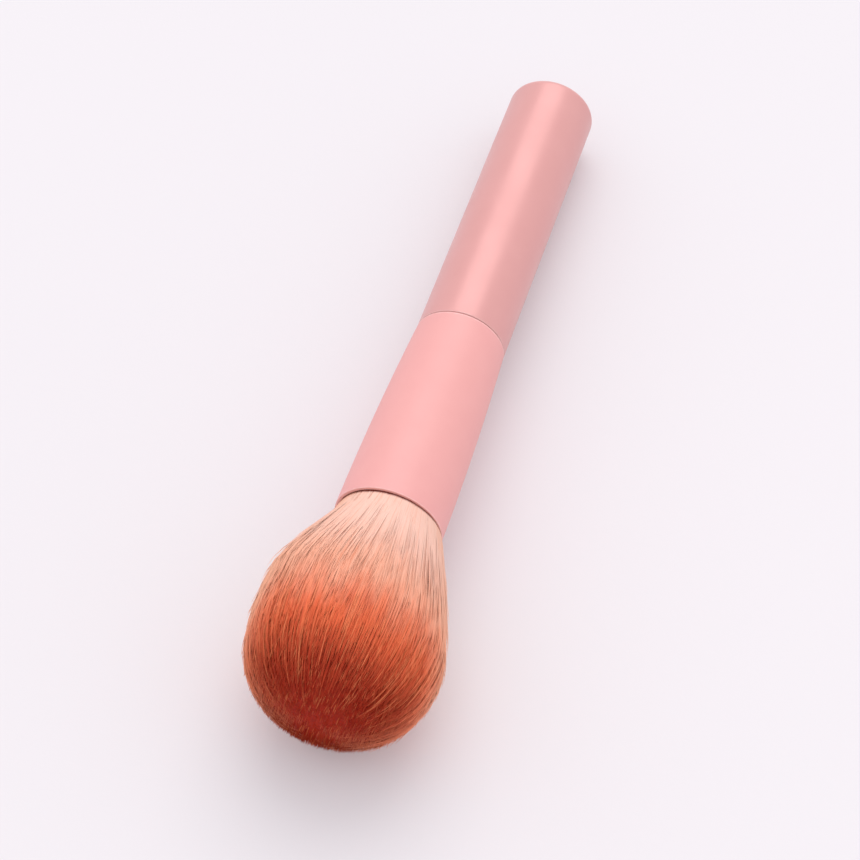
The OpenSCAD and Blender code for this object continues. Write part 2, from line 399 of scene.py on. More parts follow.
def edge_wear():
    """How much a coating has rubbed thin, from 0 to 1, close to an edge of the piece."""
    tree, size, end = node_set(
        "edge_wear", "ShaderNodeTree",
        {"Place": Vector(), "Edge": 0.0, "Reach": 0.5}, {"Wear": 0.0},
    )
    height = Flow(tree, add(tree, "ShaderNodeSeparateXYZ", {"Vector": size["Place"]}).outputs["Z"])
    far = (height - size["Edge"]).math("ABSOLUTE") / size["Reach"]
    ragged = noise(tree, size["Place"], 1.1, 4)
    feed(tree, end.inputs["Wear"], step_up(1 - far + (ragged - 0.5) * 1.2, 0.0, 1.0))
    return tree


skin = lacquer_skin()
wear = edge_wear()
handle_radius = 10
sleeve_length = 51.4
sleeve_flare = 1.6
sleeve_wall = 0.98
mouth_radius = handle_radius + sleeve_flare
mouth_wall = 0.75
sleeve_bevel = 0.3
cup_length = 24
cup_recess = 1.6
cup_bottom = cup_recess + cup_length - sleeve_length
flare_radius = (sleeve_length ** 2 + sleeve_flare ** 2) / (2 * sleeve_flare)


def sleeve_radius(back):
    """Outside radius of the sleeve at a distance back from the seam."""
    return mouth_radius - flare_radius + sqrt(flare_radius ** 2 - (sleeve_length - back) ** 2)


material, tree, shader = surface("soft_touch_salmon", Coat_Roughness=0.35, Specular_IOR_Level=0.9)
place = along_brush(tree)
grain = dict(Place=place, Peel=0.55, Patch=13.0)
smudge = placed(tree, skin, "Smudge", **grain)
mottle = placed(tree, skin, "Mottle", **grain)
worn = placed(tree, wear, "Wear", Place=place, Edge=-0.2, Reach=0.42)
worn = worn.math("MAXIMUM", placed(tree, wear, "Wear", Place=place, Edge=-sleeve_length, Reach=0.38))
tone = mixed(tree, mottle, paint(231, 158, 155), paint(235, 165, 161))
tone = mixed(tree, smudge * 0.18, tone, paint(237, 168, 166))
tone = mixed(tree, worn * 0.55, tone, paint(250, 205, 200))
feed(tree, shader.inputs["Base Color"], tone)
feed(tree, shader.inputs["Roughness"], 0.46 + smudge * 0.07 - worn * 0.10)
dent(tree, shader, placed(tree, skin, "Height", **grain), 0.006)
rim = 0.16
side_end = sleeve_length - rim
bore = handle_radius - sleeve_wall
outline = [(bore, 0), (bore + 0.25, 0), (handle_radius - sleeve_bevel - 0.12, 0)]
outline += arc((sleeve_radius(sleeve_bevel) - sleeve_bevel, -sleeve_bevel), sleeve_bevel, 90, 0, 5)
backs = [sleeve_bevel + 0.2 + (side_end - sleeve_bevel - 0.4) * i / 40 for i in range(41)]
outline += [(sleeve_radius(back), -back) for back in backs]
outline += arc((mouth_radius - rim, rim - sleeve_length), rim, 0, -90, 5)
outline += arc((mouth_radius - mouth_wall + rim, rim - sleeve_length), rim, -90, -180, 5)
outline += [(mouth_radius - mouth_wall, cup_bottom), (bore, cup_bottom)]
sleeve = turned("lacquered_sleeve", outline, material, 160)
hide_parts("flared_sleeve")
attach(sleeve, "handle")


# The core: a moulded plug that fills the sleeve's upper bore and holds the neck
# in its blind socket. Only its flat top ring shows, when the cap is off.
material, tree, shader = surface("moulded_core")
place = along_brush(tree)
grain = dict(Place=place, Peel=0.3, Patch=6.0)
smudge = placed(tree, skin, "Smudge", **grain)
feed(tree, shader.inputs["Base Color"], mixed(tree, smudge, paint(226, 172, 168), paint(232, 180, 175)))
feed(tree, shader.inputs["Roughness"], 0.48 + smudge * 0.1)
dent(tree, shader, placed(tree, skin, "Height", **grain), 0.008)
core = frame["nodes"]["handle_core"]
core.data.materials.clear()
core.data.materials.append(material)


# The powder ferrule cup: a deep drawn metal cup, anodised rose, pressed into
# the sleeve's mouth. Its rose is darkened as painted shade, so that its rolled rim shows as the dark line round
# the tuft.
def spun_lines():
    """Fine lines round a turned or drawn piece, with the broader bands of its forming."""
    tree, size, end = node_set(
        "spun_lines", "ShaderNodeTree",
        {"Place": Vector(), "Pitch": 0.12}, {"Height": 0.0, "Band": 0.0},
    )
    close = in_units(tree, size["Place"], size["Pitch"])
    round_it = (0.03, 0.03, 1)
    feed(tree, end.inputs["Height"], noise(tree, close, 1, 3, round_it))
    feed(tree, end.inputs["Band"], noise(tree, close, 14, 2, round_it))
    return tree


spun = spun_lines()
cup_radius = mouth_radius - mouth_wall - 0.02
cup_wall = 0.5
cup_floor = 0.8
cup_round = 0.6
cup_fillet = 0.4
material, tree, shader = surface("dark_rose_anodised", Metallic=0.85)
place = along_brush(tree)
band = placed(tree, spun, "Band", Place=place, Pitch=0.15)
# Painted shade: the cup's rose is darkened to stand for the shade in the sleeve's mouth.
feed(tree, shader.inputs["Base Color"], mixed(tree, band, paint(120, 40, 40), paint(138, 52, 50)))
feed(tree, shader.inputs["Roughness"], 0.34 + band * 0.12)
dent(tree, shader, placed(tree, spun, "Height", Place=place, Pitch=0.15), 0.004)
rim = cup_wall / 2
cup_top = cup_recess - sleeve_length
floor_top = cup_bottom - cup_floor
outline = [(0, cup_bottom), (cup_radius - cup_round - 0.3, cup_bottom)]
outline += arc((cup_radius - cup_round, cup_bottom - cup_round), cup_round, 90, 0, 6)
outline += arc((cup_radius - rim, cup_top + rim), rim, 0, -180, 8)
outline += arc((cup_radius - cup_wall - cup_fillet, floor_top - cup_fillet), cup_fillet, 0, 90, 5)
outline += [(0, floor_top)]
cup = turned("drawn_cup", outline, material, 96)
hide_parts("powder_ferrule_cup")
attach(cup, "handle")


# The two plugs of root glue: clear amber epoxy, poured into the cup and into the
# detail ferrule to hold the roots. They are inside, and keep their solid form.
material, tree, shader = surface("root_epoxy", Roughness=0.22)
place = along_brush(tree)
cloud = noise(tree, place, 2.4, 3)
feed(tree, shader.inputs["Base Color"], mixed(tree, cloud, paint(192, 150, 108), paint(214, 176, 134)))
dent(tree, shader, noise(tree, place, 0.9, 2), 0.02)
for name in ("powder_root_glue", "detail_root_glue"):
    plug = frame["nodes"][name]
    plug.data.materials.clear()
    plug.data.materials.append(material)


# The powder tuft: thousands of fine tapered synthetic filaments, dyed from peach
# at the root to deep red at the tip. They fan out and are cut to a full dome, and
# the longest of them lie over it.
def tuft_rule():
    """Fans strands out of a mouth at the origin, bends them up the axis, and cuts them to a dome."""
    tree, size, end = node_set(
        "fanned_tuft", "GeometryNodeTree",
        {
            "Strand": "Geometry", "Strands": 1000, "Seed": 1, "Columns": 40,
            "Root radius": 10.0, "Swell": 1.0, "Swell length": 0.7, "Lean": 0.4,
            "Fan limit": 20.6, "Close in": 0.1, "Root shift": 0.0, "Root lean": 0.0, "Form shift": 0.0,
            "Wide radius": 20.4, "Wide at": 28.0, "Dome length": 23.1, "Dome square": 2.6,
            "First end": 18.0, "Last end": 51.0, "Root depth": 3.2, "Drawn": 100.0,
            "Layer": 0.04, "Slack": 100.0, "Strand radius": 0.07, "Uneven": 0.6, "Stray": 1.0,
            "Clump size": 1.0, "Clump pull": 0.5, "Sag": 0.0, "Material": "Material",
        },
        {"Tuft": "Geometry"},
    )
    tree.is_modifier = True
    index = Flow(tree, add(tree, "GeometryNodeInputIndex").outputs[0])
    salt = [0]

    def chance(low, high):
        """A number for each strand between two, the same in every run."""
        salt[0] += 1
        step = add(
            tree, "FunctionNodeRandomValue",
            {"Min_001": low, "Max_001": high, "ID": index, "Seed": size["Seed"] * 31 + salt[0]},
            data_type="FLOAT",
        )
        return Flow(tree, step.outputs[1])

    def fan(out, side):
        """Radius of the fan at a height out of the mouth, seen from the middle of the trimmed form."""
        out = out.above(0.0)
        swell = 1 - (out / size["Swell length"] * -1).math("EXPONENT")
        shift = size["Root shift"] * swell + size["Root lean"] * out - size["Form shift"]
        straight = size["Root radius"] + size["Swell"] * swell + size["Lean"] * out + shift * side
        bent = straight / (1 + (straight / size["Fan limit"]) ** 20.0) ** 0.05
        past = (out - size["Wide at"]).above(0.0) / size["Dome length"]
        return bent * (1 - size["Close in"] * past * past)

    def cut(out, slack=0.0):
        """Radius of the trimmed form at a height out of the mouth, or of a longer one."""
        over = ((out - size["Wide at"]) / (size["Dome length"] + slack)).above(0.0).below(1.0)
        return size["Wide radius"] * (1 - over ** size["Dome square"]) ** (1 / size["Dome square"])

    def path(out, side):
        """Radius that the outermost strand follows: the fan's, curling in with the form."""
        return fan(out, side).below(cut(out, size["Slack"]))

    def kept(geometry, name, value):
        """Keeps a number with each strand or point under a name."""
        return add(
            tree, "GeometryNodeStoreNamedAttribute",
            {"Geometry": geometry, "Name": name, "Value": value}, data_type="FLOAT",
        ).outputs[0]

    def read(name):
        return Flow(tree, add(tree, "GeometryNodeInputNamedAttribute", {"Name": name}).outputs[0])

    ends = chance(size["First end"], size["Last end"])
    turn = chance(0.0, 2 * pi)
    layer = 1 - size["Layer"] * chance(0.0, 1.0)
    share = (cut(ends) / path(ends, turn.math("SINE"))).below(1.0) * layer
    stray = chance(0.0, 1.0) ** 5.0
    roots = add(tree, "GeometryNodePoints", {"Count": size["Strands"]}).outputs[0]
    for name, value in (
        ("cell", index), ("ends", ends), ("share", share),
        ("out_x", turn.math("COSINE")), ("out_y", turn.math("SINE")),
        ("own_tone", chance(0.0, 1.0)), ("uneven", chance(-1.0, 1.0)),
        ("stray_x", chance(-1.0, 1.0) * stray), ("stray_y", chance(-1.0, 1.0) * stray),
        ("girth", chance(0.8, 1.2)),
    ):
        roots = kept(roots, name, value)
    copies = add(tree, "GeometryNodeInstanceOnPoints", {"Points": roots, "Instance": size["Strand"]})
    strands = add(tree, "GeometryNodeRealizeInstances", {"Geometry": copies.outputs[0]}).outputs[0]
    shape = add(tree, "GeometryNodeInputPosition").outputs[0]
    local = add(tree, "ShaderNodeSeparateXYZ", {"Vector": shape})
    side_x, side_y, up = (Flow(tree, s) for s in local.outputs)
    strands = kept(strands, "up", up)
    up = read("up")
    ends, share, out_x, out_y = read("ends"), read("share"), read("out_x"), read("out_y")
    start = (ends - size["Drawn"]).above(size["Root depth"] * -1)
    reach = start + (ends + read("uneven") * size["Uneven"] - start) * up
    strands = kept(strands, "reach", reach)
    wide = path(reach, out_y)
    strands = kept(strands, "depth", ((1 - share) * wide * 2.5).below(ends - reach))
    tip = share * path(ends, out_y)
    tip_at = add(tree, "ShaderNodeCombineXYZ", {"X": out_x * tip, "Y": out_y * tip, "Z": ends})
    cells = add(
        tree, "ShaderNodeTexVoronoi",
        {"Vector": tip_at.outputs[0], "Scale": 1 / size["Clump size"]},
    )
    centre = add(tree, "ShaderNodeSeparateXYZ", {"Vector": cells.outputs["Position"]})
    cell_colour = add(tree, "ShaderNodeSeparateXYZ", {"Vector": cells.outputs["Color"]})
    clump_tone = Flow(tree, cell_colour.outputs[0])
    strands = kept(strands, "tone", read("own_tone") * 0.6 + clump_tone * 0.4)
    risen = (reach.above(0.0) / ends).below(1.0)
    grip = size["Clump pull"] * risen
    pull_x = (Flow(tree, centre.outputs[0]) - out_x * tip) * grip
    pull_y = (Flow(tree, centre.outputs[1]) - out_y * tip) * grip
    loose = size["Stray"] * up * up
    thick = size["Strand radius"] * read("girth")
    sag = size["Sag"] * (1 - reach.above(0.0) / size["Last end"])
    shifted = size["Form shift"]
    turned_x = (side_x * out_x - side_y * out_y) * thick
    turned_y = (side_x * out_y + side_y * out_x) * thick
    place = add(
        tree, "ShaderNodeCombineXYZ",
        {
            "X": share * wide * out_x + pull_x + read("stray_x") * loose + turned_x + sag,
            "Y": share * wide * out_y + pull_y + read("stray_y") * loose + turned_y + shifted,
            "Z": reach,
        },
    )
    strands = add(
        tree, "GeometryNodeSetPosition", {"Geometry": strands, "Position": place.outputs[0]}
    ).outputs[0]
    cell = read("cell")
    row = (cell / size["Columns"]).math("FLOOR")
    own = add(
        tree, "GeometryNodeInputNamedAttribute", {"Name": "OFBake"}, data_type="FLOAT_VECTOR"
    ).outputs[0]
    own = add(tree, "ShaderNodeSeparateXYZ", {"Vector": own})
    cell_place = add(
        tree, "ShaderNodeCombineXYZ",
        {
            "X": (Flow(tree, own.outputs[0]) + cell - row * size["Columns"]) / size["Columns"],
            "Y": (Flow(tree, own.outputs[1]) + row) / size["Columns"],
        },
    )
    strands = add(
        tree, "GeometryNodeStoreNamedAttribute",
        {"Geometry": strands, "Name": "OFBake", "Value": cell_place.outputs[0]},
        data_type="FLOAT2", domain="CORNER",
    ).outputs[0]
    plain = add(tree, "GeometryNodeRealizeInstances", {"Geometry": strands})
    coated = add(
        tree, "GeometryNodeSetMaterial",
        {"Geometry": plain.outputs[0], "Material": size["Material"]},
    )
    feed(tree, end.inputs["Tuft"], coated.outputs[0])
    return tree


def strand_shape(rings, bluntness):
    """One filament up the axis from 0 to 1, with its ridge to +x, a closed root and a fine tip."""
    ups = [1 - (1 - i / rings) ** 1.8 for i in range(rings)]
    points = []
    for up in ups:
        width = 1 - up ** bluntness
        for side in range(3):
            turn = 2 * pi * side / 3
            points.append((0.6 * width * cos(turn), width * sin(turn), up))
    points.append((0, 0, 1))
    faces = [(2, 1, 0)]
    spots = [((0.1, 0.02), (0.5, 0.07), (0.9, 0.02))]
    for ring in range(rings):
        low = 3 * ring
        for side in range(3):
            after = (side + 1) % 3
            left, right = 0.06 + 0.88 * side / 3, 0.06 + 0.88 * (side + 1) / 3
            bottom = 0.1 + 0.85 * ups[ring]
            if ring == rings - 1:
                faces.append((low + side, low + after, 3 * rings))
                spots.append(((left, bottom), (right, bottom), ((left + right) / 2, 0.95)))
                continue
            top = 0.1 + 0.85 * ups[ring + 1]
            faces.append((low + side, low + after, low + 3 + after, low + 3 + side))
            spots.append(((left, bottom), (right, bottom), (right, top), (left, top)))
    shape = bpy.data.meshes.new(f"strand_of_{rings}")
    shape.from_pydata(points, [], faces)
    mapped = shape.uv_layers.new(name="OFBake")
    mapped.uv.foreach_set("vector", [n for face in spots for spot in face for n in spot])
    return shape


def strand_colour():
    """The dye of a tuft from root to tip, with streaks and a tone for each strand; painted glints, painted shade
    with depth, and painted shade at the roots.
    """
    tree, size, end = node_set(
        "strand_colour", "ShaderNodeTree",
        {
            "Place": Vector(), "Reach": 0.0, "Length": 50.0, "Tone": 0.5, "Depth": 0.0,
            "Streak": 4.0, "Root": (1.0, 1.0, 1.0, 1.0), "Middle": (1.0, 1.0, 1.0, 1.0),
            "Deep": (1.0, 1.0, 1.0, 1.0), "Tip": (1.0, 1.0, 1.0, 1.0),
        },
        {"Colour": (0.0, 0.0, 0.0, 1.0)},
    )
    streaks = noise(tree, size["Place"], 3.6, 3, (1, 1, 0.4))
    fine = noise(tree, size["Place"], 0.7, 2, (1, 1, 0.12))
    ragged = (streaks - 0.5) * 2.2 + (fine - 0.5) + (size["Tone"] - 0.5) * 1.3
    shifted = size["Reach"] + ragged * size["Streak"]
    far = shifted / size["Length"]
    tone = mixed(tree, step_up(far, 0.12, 0.50), size["Root"], size["Middle"])
    tone = mixed(tree, step_up(far, 0.42, 0.74), tone, size["Deep"])
    tone = mixed(tree, step_up(far, 0.66, 1.00), tone, size["Tip"])
    dull = 1 - step_up(size["Tone"], 0.08, 0.42)
    dim = mixed(tree, step_up(far, 0.3, 0.8), (0.95, 0.79, 0.71, 1), (0.74, 0.44, 0.34, 1))
    tone = mixed(tree, 1.0, tone, mixed(tree, dull, (1, 1, 1, 1), dim), "MULTIPLY")
    # Painted highlight: strands of high tone are mixed towards a pale colour as glints.
    painted_glint = step_up(size["Tone"], 0.62, 0.84)
    pale = mixed(tree, step_up(far, 0.3, 0.8), paint(255, 214, 196), paint(255, 156, 104))
    tone = mixed(tree, painted_glint * 0.5, tone, pale)
    # Painted shade: strands deeper in the tuft are darkened as if shaded by those above them.
    depth_shade = step_up(size["Depth"], 0.2, 6.0)
    dark = mixed(tree, 1.0, tone, (1.0, 0.64, 0.52, 1.0), "MULTIPLY")
    tone = mixed(tree, depth_shade, tone, dark)
    # Painted shade: roots close to the mouth turn dark maroon to stand for the shade inside the sleeve's mouth.
    painted_root_shade = 1 - step_up(size["Reach"], 0.1, 0.9)
    feed(tree, end.inputs["Colour"], mixed(tree, painted_root_shade, tone, paint(108, 24, 20)))
    return tree


tuft_fan = tuft_rule()
dye_and_painted_light = strand_colour()


def strand_finish(name, length, streak, root, middle, deep, tip):
    """Fine nylon filament: the shared dye with its painted glints and shade, and a painted edge light, pale where
    the tuft's wide part is seen edge-on.
    """
    material, tree, shader = surface(
        name, Specular_IOR_Level=0.2,
        Sheen_Weight=0.6, Sheen_Roughness=0.4, Sheen_Tint=(1.0, 0.5, 0.32, 1),
    )

    def read(label):
        return add(tree, "ShaderNodeAttribute", attribute_name=label).outputs["Fac"]

    place = along_brush(tree)
    colour = placed(
        tree, dye_and_painted_light, "Colour", Place=place, Reach=read("reach"), Length=length,
        Tone=read("tone"), Depth=read("depth"), Streak=streak,
        Root=root, Middle=middle, Deep=deep, Tip=tip,
    )
    facing = Flow(tree, add(tree, "ShaderNodeLayerWeight").outputs["Facing"])
    flat = add(
        tree, "ShaderNodeVectorMath", {"Vector": place, "Vector_001": (0, 1, 1)}, operation="MULTIPLY"
    ).outputs[0]
    off = add(tree, "ShaderNodeVectorMath", {"Vector": flat}, operation="LENGTH").outputs["Value"]
    off = Flow(tree, off)
    # Painted light: the base colour turns pale where the wide part of the tuft is seen edge-on, standing for light
    # through the edge filaments.
    edge = step_up(facing, 0.2, 0.95) * step_up(off, 7.0, 19.0) * 0.9
    far = Flow(tree, read("reach")) / length
    painted_edge_light = mixed(tree, step_up(far, 0.62, 0.92), paint(255, 190, 158), paint(244, 126, 84))
    feed(tree, shader.inputs["Base Color"], mixed(tree, edge, colour, painted_edge_light))
    feed(tree, shader.inputs["Roughness"], 0.42 + Flow(tree, read("tone")) * 0.2)
    return material


def places_of(piece):
    """The places of a piece's vertices, as one flat row of numbers."""
    places = np.empty(len(piece.data.vertices) * 3, np.float32)
    piece.data.vertices.foreach_get("co", places)
    return places


def pressed(piece, floor=0.00005, give=0.0004):
    """Lets the lowest strands give way softly where they lie on the table."""
    places = places_of(piece)
    height = places[2::3].astype(float)
    low = height < floor + 6 * give
    height[low] = floor + give * np.log1p(np.exp((height[low] - floor) / give))
    places[2::3] = height
    piece.data.vertices.foreach_set("co", places)
    piece.data.update()


def rounded(piece, rings, middle, outwards, lean=0.6):
    """Shades each filament as a round one, leaning to the tuft's form round its middle.

    The two faces beside a filament's ridge share one set of normals, and the face
    that looks into the tuft has its own.
    """
    strands = places_of(piece).astype(float).reshape(-1, 3 * rings + 1, 3)
    sides = strands[:, :-1].reshape(len(strands), rings, 3, 3)
    out = 2 * sides[:, :, 0] - sides[:, :, 1] - sides[:, :, 2]
    across = sides[:, :, 1] - sides[:, :, 2]
    out /= np.linalg.norm(out, axis=-1, keepdims=True) + 1e-12
    across /= np.linalg.norm(across, axis=-1, keepdims=True) + 1e-12
    far = np.minimum((strands - middle) @ outwards, 0)
    form = strands - middle - far[..., None] * outwards
    form /= np.linalg.norm(form, axis=-1, keepdims=True) + 1e-12
    normals = np.empty((2,) + strands.shape)
    faced = normals[:, :, :-1].reshape(2, len(strands), rings, 3, 3)
    faced[0] = np.stack((out, out + across, out - across), 2)
    faced[1] = -out[:, :, None]
    normals[:, :, :-1] = faced.reshape(2, len(strands), 3 * rings, 3)
    normals[0, :, -1], normals[1, :, -1] = out[:, -1], -out[:, -1]
    normals += lean * (form - normals)
    normals /= np.linalg.norm(normals, axis=-1, keepdims=True)
    inner = [0] * 3 + ([0] * 4 + [1] * 4 + [0] * 4) * (rings - 1) + [0] * 3 + [1] * 3 + [0] * 3
    corners = np.empty(len(piece.data.loops), np.int32)
    piece.data.loops.foreach_get("vertex_index", corners)
    faced = normals.reshape(2, -1, 3)[np.tile(inner, len(strands)), corners]
    piece.data.normals_split_custom_set(faced)


powder_length = 50.6
root_depth = 3.2
sag = 0.3
powder_paints = (
    paint(255, 210, 194), paint(255, 184, 155), paint(248, 116, 72), paint(172, 36, 0),
)
powder_dye_and_light = strand_finish("powder_filament", powder_length, 4.0, *powder_paints)
to_mouth = Matrix.Translation((0, 0, -sleeve_length)) @ Euler((pi, 0, 0)).to_matrix().to_4x4()
powder_form = dict(
    Root_radius=10.0, Swell=0.95, Swell_length=0.8, Lean=0.385, Fan_limit=20.6, Close_in=0.12,
    Root_shift=0.8, Root_lean=-0.052, Form_shift=1.35,
    Wide_radius=20.1, Wide_at=28.0, Dome_length=22.6, Dome_square=2.6,
)
powder_sizes = dict(
    Root_depth=root_depth, Layer=0.04, Strand_radius=0.13, Uneven=0.4, Stray=1.2,
    Clump_size=0.8, Clump_pull=0.3, Sag=sag, Material=powder_dye_and_light, **powder_form,
)
powder_parts = [
    dict(
        name="powder_side", parts=2, strands=4950, rings=7, blunt=12,
        first=13.0, last=powder_form["Wide_at"], drawn=100.0, slack=100.0,
    ),
    dict(
        name="powder_crown", parts=3, strands=7100, rings=5, blunt=14,
        first=powder_form["Wide_at"], last=powder_length, drawn=16.0, slack=100.0,
    ),
    dict(
        name="powder_outer", parts=1, strands=4900, rings=7, blunt=6,
        first=14.0, last=46.5, drawn=12.0, slack=0.3,
    ),
    dict(
        name="powder_over", parts=1, strands=4900, rings=7, blunt=8,
        first=16.0, last=50.4, drawn=14.0, slack=0.5,
    ),
]
wide_middle = seam - axis * (sleeve_length + powder_form["Wide_at"]) / 1000
for part in powder_parts:
    strand = strand_shape(part["rings"], part["blunt"])
    for number in range(part["parts"]):
        tuft = grown(
            f"{part['name']}_{number + 1}", tuft_fan, strand, Strands=part["strands"],
            Columns=int(sqrt(part["strands"])) + 1, Seed=11 + number + part["rings"],
            First_end=part["first"], Last_end=part["last"], Drawn=part["drawn"],
            Slack=part["slack"], **powder_sizes,
        )
        tuft.data.transform(lay @ to_mouth)
        tuft.data.shade_smooth()
        pressed(tuft)
        rounded(tuft, part["rings"], wide_middle, -axis)
        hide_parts("powder_bristles")
        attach(tuft, "handle")


# The tuft's heart: a closed body just inside the powder tuft's form, under the
# strands, so that nothing shows through between them. It has their dye, with the painted shade of strands 2 mm
# deep.
def form_radius(out, turn, inset):
    """Radius of the powder tuft's form at a height out of the mouth, as the fan rule has it."""
    form = powder_form
    out = max(out, 0)
    swell = 1 - exp(-out / form["Swell_length"])
    shift = form["Root_shift"] * swell + form["Root_lean"] * out - form["Form_shift"]
    straight = form["Root_radius"] + form["Swell"] * swell + form["Lean"] * out + shift * sin(turn)
    bent = straight / (1 + (straight / form["Fan_limit"]) ** 20) ** 0.05
    over = min(max((out - form["Wide_at"]) / (form["Dome_length"] - inset), 0), 1)
    dome = (1 - over ** form["Dome_square"]) ** (1 / form["Dome_square"])
    return min(bent - inset, (form["Wide_radius"] - inset) * dome)


heart_inset = 1.3
heart_turns = 96
heart_shift = powder_form["Form_shift"]
heart_dome = powder_form["Dome_length"] - heart_inset
heart_outs = [1.7 * i - root_depth for i in range(19)]
heart_outs += [powder_form["Wide_at"] + heart_dome * sin(radians(90 * i / 24)) for i in range(1, 24)]
points = [(0, 0, -root_depth)]
for out in heart_outs:
    for step in range(heart_turns):
        turn = 2 * pi * step / heart_turns
        radius = form_radius(out, turn, heart_inset)
        points.append((radius * cos(turn) + sag, radius * sin(turn) + heart_shift, out))
points.append((sag, heart_shift, powder_length - heart_inset))
faces = []
for ring in range(len(heart_outs) + 1):
    for step in range(heart_turns):
        low, after = 1 + (ring - 1) * heart_turns, (step + 1) % heart_turns
        high = low + heart_turns
        if ring == 0:
            faces.append((0, high + after, high + step))
        elif ring == len(heart_outs):
            faces.append((low + step, low + after, len(points) - 1))
        else:
            faces.append((low + step, low + after, high + after, high + step))
material, tree, shader = surface("packed_filament", Specular_IOR_Level=0.2, Roughness=0.6)
place = along_brush(tree)
parts = add(tree, "ShaderNodeSeparateXYZ", {"Vector": place}).outputs
below = -sleeve_length - Flow(tree, parts["Z"])
narrow = 1 / (1 + below.above(0.0) * 0.036)
fanned = add(
    tree, "ShaderNodeCombineXYZ",
    {"X": Flow(tree, parts["X"]) * narrow, "Y": Flow(tree, parts["Y"]) * narrow, "Z": below * 0.05},
)
lines = step_up(noise(tree, fanned.outputs[0], 0.22, 1), 0.25, 0.72) * 0.5
# Painted shade: a fixed depth of 2 mm darkens the heart as strands that deep would be shaded.
feed(
    tree, shader.inputs["Base Color"],
    placed(
        tree, dye_and_painted_light, "Colour", Place=place, Reach=below + 0.8, Length=powder_length, Streak=4.0,
        Tone=lines, Depth=2.0, Root=powder_paints[0], Middle=powder_paints[1],
        Deep=powder_paints[2], Tip=powder_paints[3],
    ),
)
dent(tree, shader, lines, 0.12)
heart = bpy.data.objects.new("powder_heart", bpy.data.meshes.new("powder_heart"))
scene.collection.objects.link(heart)
heart.data.from_pydata(points, [], faces)
heart.data.materials.append(material)
face_outwards(heart.data)
heart.data.transform(lay @ to_mouth)
heart.data.shade_smooth()
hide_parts("powder_bristles")
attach(heart, "handle")


# The neck: a straight aluminium tube, satin rose anodised, pressed into the core.
# The cap's bush grips its outside, and the detail ferrule is pushed into its end.
neck_radius = 7.6
neck_wall = 0.45
neck_reach = 14.0
neck_seat = 20
neck_bevel = 0.15
material, tree, shader = surface("satin_rose_anodised", Metallic=1.0)
place = along_brush(tree)
band = placed(tree, spun, "Band", Place=place, Pitch=0.08)
worn = placed(tree, wear, "Wear", Place=place, Edge=neck_reach, Reach=0.5)
tone = mixed(tree, band, paint(219, 170, 156), paint(228, 182, 168))
feed(tree, shader.inputs["Base Color"], mixed(tree, worn * 0.6, tone, paint(236, 222, 216)))
feed(tree, shader.inputs["Roughness"], 0.27 + band * 0.12)
dent(tree, shader, placed(tree, spun, "Height", Place=place, Pitch=0.08), 0.003)
bore = neck_radius - neck_wall
outline = [(bore, -neck_seat), (neck_radius - neck_wall / 2, -neck_seat)]
outline += [(neck_radius, 0.4 - neck_seat), (neck_radius, -1), (neck_radius, neck_reach - 0.5)]
outline += arc((neck_radius - neck_bevel, neck_reach - neck_bevel), neck_bevel, 0, 90, 4)
outline += [(bore, neck_reach)]
neck = turned("rose_neck", outline, material)
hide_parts("neck_tube")
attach(neck, "handle")


# The detail ferrule: a thin aluminium tube, polished and rose anodised. It has a
# rolled bead that seats on the neck, two crimp grooves, and a taper to its mouth.
bead_height = 1.2
bead_round = bead_height / 2
bead_top = neck_reach + bead_height
taper_length = 18
detail_mouth = bead_top + taper_length
taper_drop = 1.45
ferrule_wall = 0.4
crimps = (2.6, 5.0)
crimp_width = 1.4
crimp_depth = 0.3
skirt_bottom = 4


def ferrule_radius(up):
    """Outside radius of the ferrule at a height above its bead, with its crimp grooves."""
    near = min(abs(up - crimp) for crimp in crimps)
    share = (1 + cos(2 * pi * near / crimp_width)) / 2 if near < crimp_width / 2 else 0
    return neck_radius - neck_wall - taper_drop * up / taper_length - crimp_depth * share


material, tree, shader = surface("polished_rose_anodised", Metallic=1.0)
place = along_brush(tree)
band = placed(tree, spun, "Band", Place=place, Pitch=0.05)
worn = placed(tree, wear, "Wear", Place=place, Edge=bead_top - bead_round, Reach=0.5)
tone = mixed(tree, band, paint(224, 176, 162), paint(230, 186, 172))
feed(tree, shader.inputs["Base Color"], mixed(tree, worn * 0.5, tone, paint(240, 226, 220)))
feed(tree, shader.inputs["Roughness"], 0.13 + band * 0.1)
dent(tree, shader, placed(tree, spun, "Height", Place=place, Pitch=0.05), 0.0015)
skirt = neck_radius - neck_wall - 0.02
rim = ferrule_wall / 2
outline = [(skirt - ferrule_wall, skirt_bottom), (skirt, skirt_bottom), (skirt, neck_reach)]
outline += arc((neck_radius - bead_round, neck_reach + bead_round), bead_round, -90, 90, 12)
ups = [0.15 * i for i in range(1, 41)] + [6 + 0.5 * i for i in range(1, 23)]
outline += [(ferrule_radius(up), bead_top + up) for up in ups]
tip_radius = ferrule_radius(taper_length)
outline += arc((tip_radius - rim, detail_mouth - rim), rim, 0, 180, 8)
outline += [(ferrule_radius(up) - ferrule_wall, bead_top + up) for up in reversed(ups)]
outline += [(skirt - ferrule_wall, neck_reach)]
ferrule = turned("crimped_ferrule", outline, material)
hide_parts("detail_ferrule")
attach(ferrule, "handle")


